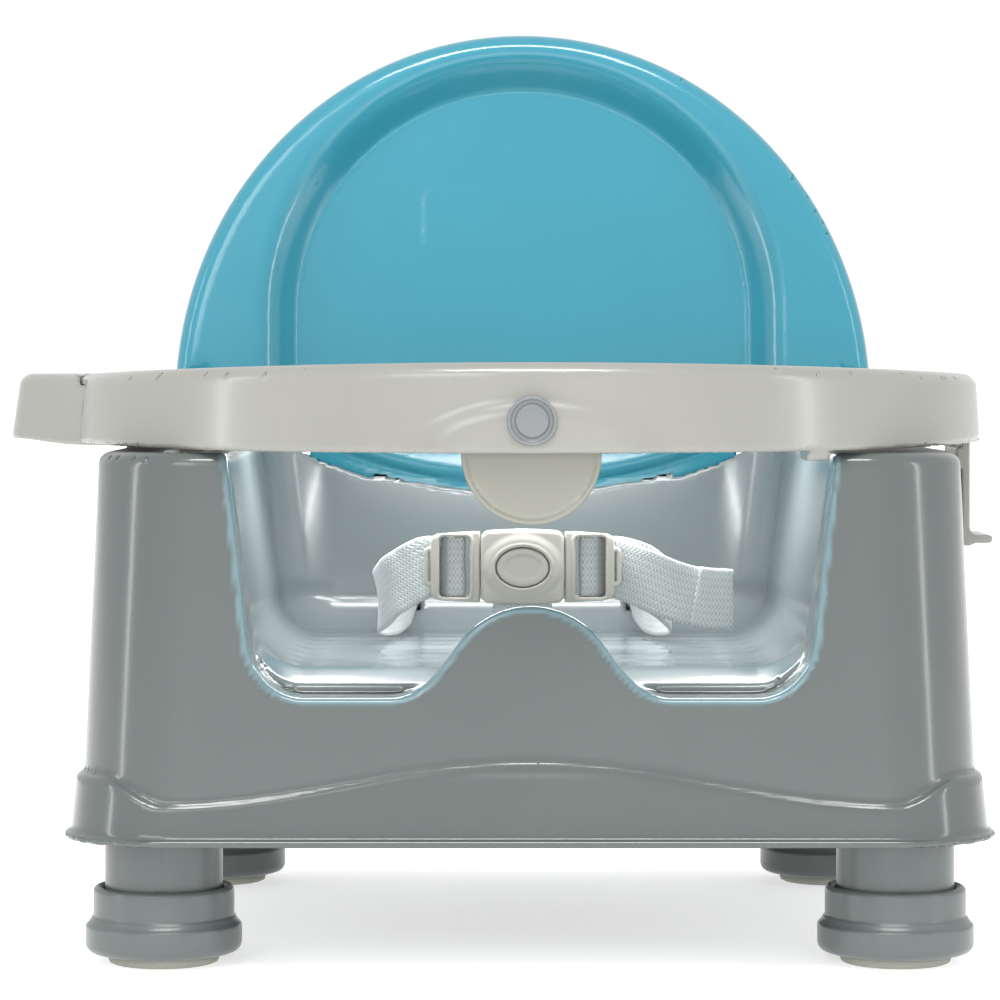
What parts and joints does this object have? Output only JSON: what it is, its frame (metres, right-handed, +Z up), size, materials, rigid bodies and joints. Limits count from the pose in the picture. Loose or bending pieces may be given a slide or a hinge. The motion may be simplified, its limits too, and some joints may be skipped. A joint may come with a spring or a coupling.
{
  "type": "booster seat",
  "caption": "Child booster seat with a folding round-topped backrest, a flip-up tray with a latch lever, a three-point harness and four height-adjustable feet.",
  "frame": {"origin": "on the surface the feet stand on, below the middle of the base", "axes": "+X to the seat's right as seen from the front, +Y from the front to the backrest, +Z up"},
  "size_m": [0.4344, 0.3783, 0.4124],
  "materials": {
    "base_plastic": "gloss",
    "backrest_plastic": "gloss",
    "tray_plastic": "gloss",
    "guard_plastic": "gloss",
    "harness_plastic": "satin",
    "badge_plastic": "satin",
    "leg_plastic": "satin",
    "webbing": "woven",
    "pad_rubber": "matt",
    "steel": "brushed"
  },
  "bodies": {
    "base": {"base_shell": "base_plastic", "bottom_frame": "leg_plastic", "frame_screws": "steel", "hinge_pin_left": "steel", "hinge_pin_right": "steel", "tray_hinge_bracket": "tray_plastic", "bracket_screws": "steel", "tray_hinge_pin": "steel", "crotch_strap": "webbing", "waist_strap_left": "webbing", "waist_strap_right": "webbing", "strap_bar_left": "steel", "strap_bar_right": "steel", "crotch_strap_bar": "steel", "buckle_front": "harness_plastic", "buckle_back": "harness_plastic", "button_spring": "steel"},
    "backrest": {"backrest_shell": "backrest_plastic"},
    "tray": {"tray_shell": "tray_plastic", "tray_hinge_arm": "tray_plastic", "tray_screws": "steel", "crotch_guard": "guard_plastic", "front_badge": "badge_plastic", "latch_pin": "steel"},
    "latch": {"latch_lever": "tray_plastic"},
    "button": {"buckle_button": "harness_plastic"},
    "tongue_left_body": {"tongue_left": "harness_plastic"},
    "tongue_right_body": {"tongue_right": "harness_plastic", "strap_tail_right": "webbing"},
    "leg_assembly_front_left": {"leg_front_left": "leg_plastic", "foot_front_left": "leg_plastic", "pad_front_left": "pad_rubber", "leg_button_front_left": "leg_plastic"},
    "leg_assembly_front_right": {"leg_front_right": "leg_plastic", "foot_front_right": "leg_plastic", "pad_front_right": "pad_rubber", "leg_button_front_right": "leg_plastic"},
    "leg_assembly_rear_left": {"leg_rear_left": "leg_plastic", "foot_rear_left": "leg_plastic", "pad_rear_left": "pad_rubber", "leg_button_rear_left": "leg_plastic"},
    "leg_assembly_rear_right": {"leg_rear_right": "leg_plastic", "foot_rear_right": "leg_plastic", "pad_rear_right": "pad_rubber", "leg_button_rear_right": "leg_plastic"}
  },
  "joints": [
    {"name": "backrest_fold", "type": "hinge", "parent": "base", "child": "backrest", "pos_m": [0, 0.142, 0.232], "axis": [1, 0, 0], "range_deg": [0, 50]},
    {"name": "tray_flip", "type": "hinge", "parent": "base", "child": "tray", "pos_m": [-0.196, -0.024, 0.222], "axis": [0, -1, 0], "range_deg": [0, 100]},
    {"name": "latch_pull", "type": "hinge", "parent": "tray", "child": "latch", "pos_m": [0.1924, -0.027, 0.226], "axis": [0, -1, 0], "range_deg": [0, 8], "stiffness_Nm_per_rad": 0.3, "springref_deg": -5.73},
    {"name": "button_press", "type": "slide", "parent": "base", "child": "button", "axis": [0, 1, 0], "range_m": [0, 0.0025], "stiffness_N_per_m": 600, "springref_m": -0.0015, "deforming": ["button_spring"]},
    {"name": "tongue_release_left", "type": "slide", "parent": "base", "child": "tongue_left_body", "axis": [-1, 0, 0], "range_m": [0, 0.02], "deforming": ["waist_strap_left"]},
    {"name": "tongue_release_right", "type": "slide", "parent": "base", "child": "tongue_right_body", "axis": [1, 0, 0], "range_m": [0, 0.02], "deforming": ["waist_strap_right"]},
    {"name": "leg_height_front_left", "type": "slide", "parent": "base", "child": "leg_assembly_front_left", "axis": [0, 0, 1], "range_m": [-0.02, 0.02]},
    {"name": "leg_height_front_right", "type": "slide", "parent": "base", "child": "leg_assembly_front_right", "axis": [0, 0, 1], "range_m": [-0.02, 0.02]},
    {"name": "leg_height_rear_left", "type": "slide", "parent": "base", "child": "leg_assembly_rear_left", "axis": [0, 0, 1], "range_m": [-0.02, 0.02]},
    {"name": "leg_height_rear_right", "type": "slide", "parent": "base", "child": "leg_assembly_rear_right", "axis": [0, 0, 1], "range_m": [-0.02, 0.02]}
  ]
}
